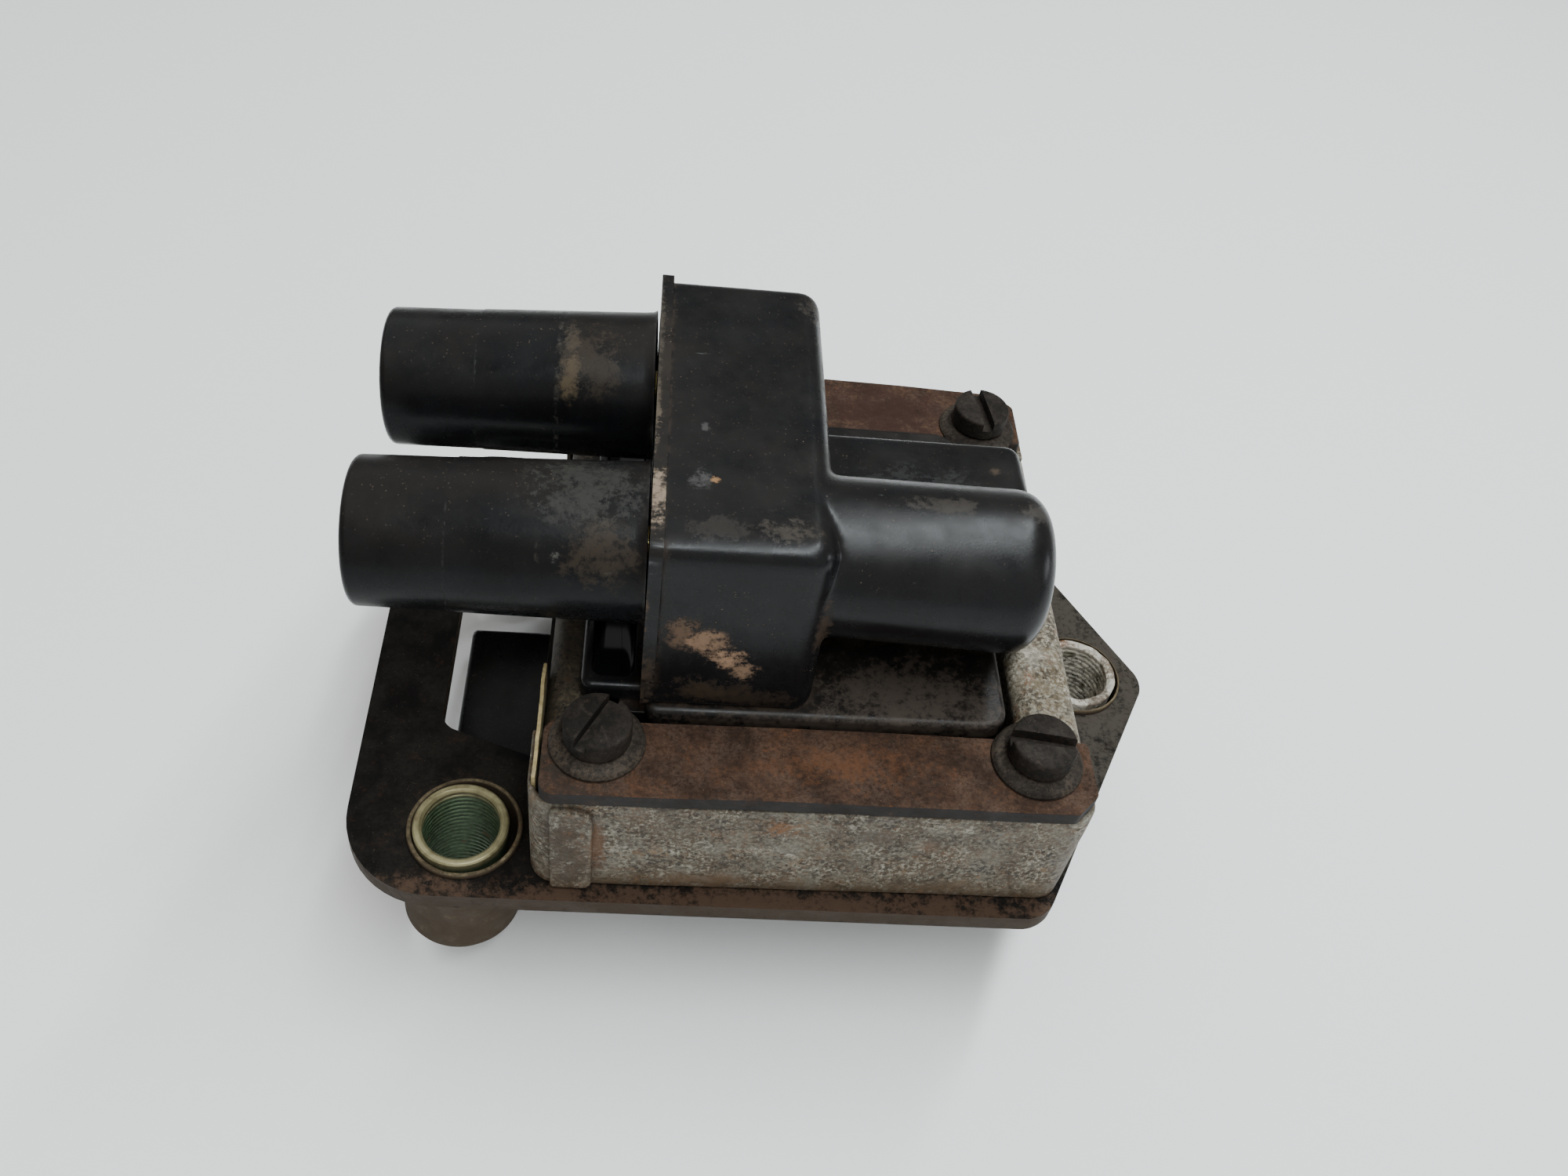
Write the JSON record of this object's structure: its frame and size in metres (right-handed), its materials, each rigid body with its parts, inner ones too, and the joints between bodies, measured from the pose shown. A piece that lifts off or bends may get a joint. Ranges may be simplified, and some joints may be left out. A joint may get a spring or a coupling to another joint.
{
  "type": "ignition coil",
  "caption": "Twin-tower ignition coil: laminated core clamped on a pointed mounting plate with bushes, potted black housing, two high-voltage towers and a low-voltage socket below.",
  "frame": {"origin": "centre of the footprint at the lowest face, the underside of the case and of the low-voltage socket", "axes": "+X from the high-voltage towers towards the ear of the mounting plate, +Y towards the hidden back side, +Z normal to the plate, towards the tower block"},
  "size_m": [0.1178, 0.0854, 0.079],
  "materials": {
    "plate_steel": "black-brown coated steel with surface rust",
    "bar_steel": "rusted brown steel",
    "bush_steel": "dark oxidised steel with rust",
    "sleeve_zinc": "dulled yellow zinc plating",
    "strap_zinc": "weathered galvanised sheet",
    "leg_zinc": "galvanised sheet with white corrosion",
    "core_iron": "stacked transformer sheet",
    "screw_steel": "dark dulled steel with worn rims",
    "washer_steel": "dark dulled steel",
    "paper": "cream insulating paper",
    "resin": "glossy black potting resin",
    "copper": "enamelled copper wire",
    "bobbin_plastic": "moulded bobbin plastic",
    "terminal_brass": "dulled brass",
    "seal_rubber": "black sealing rubber",
    "case_plastic": "satin black moulding with dust",
    "cover_plastic": "satin black moulding with dust and scuffs"
  },
  "bodies": {
    "root": {"bottom_resin": "resin", "bush_collar_back": "bush_steel", "bush_collar_ear": "bush_steel", "bush_collar_front": "bush_steel", "bush_sleeve_back": "sleeve_zinc", "bush_sleeve_ear": "sleeve_zinc", "bush_sleeve_front": "sleeve_zinc", "clamp_bar_back": "bar_steel", "clamp_bar_front": "bar_steel", "coil_case": "case_plastic", "core_centre_leg": "core_iron", "core_leg_left": "leg_zinc", "core_leg_right": "leg_zinc", "core_strap_back": "strap_zinc", "core_strap_front": "strap_zinc", "core_yoke_back": "core_iron", "core_yoke_front": "core_iron", "high_voltage_lead_back": "copper", "high_voltage_lead_front": "copper", "mounting_plate": "plate_steel", "paper_strip": "paper", "pocket_resin": "resin", "primary_bobbin": "bobbin_plastic", "primary_winding": "copper", "screw_left_back": "screw_steel", "screw_left_front": "screw_steel", "screw_right_back": "screw_steel", "screw_right_front": "screw_steel", "secondary_bobbin": "bobbin_plastic", "secondary_section_1": "copper", "secondary_section_2": "copper", "secondary_section_3": "copper", "secondary_section_4": "copper", "socket_pin_1": "terminal_brass", "socket_pin_2": "terminal_brass", "socket_pin_3": "terminal_brass", "socket_seal": "seal_rubber", "socket_shell": "case_plastic", "top_cover": "cover_plastic", "tower_back": "cover_plastic", "tower_flange": "cover_plastic", "tower_front": "cover_plastic", "tower_terminal_back": "terminal_brass", "tower_terminal_front": "terminal_brass", "washer_left_back": "washer_steel", "washer_left_front": "washer_steel", "washer_right_back": "washer_steel", "washer_right_front": "washer_steel"}
  },
  "joints": []
}
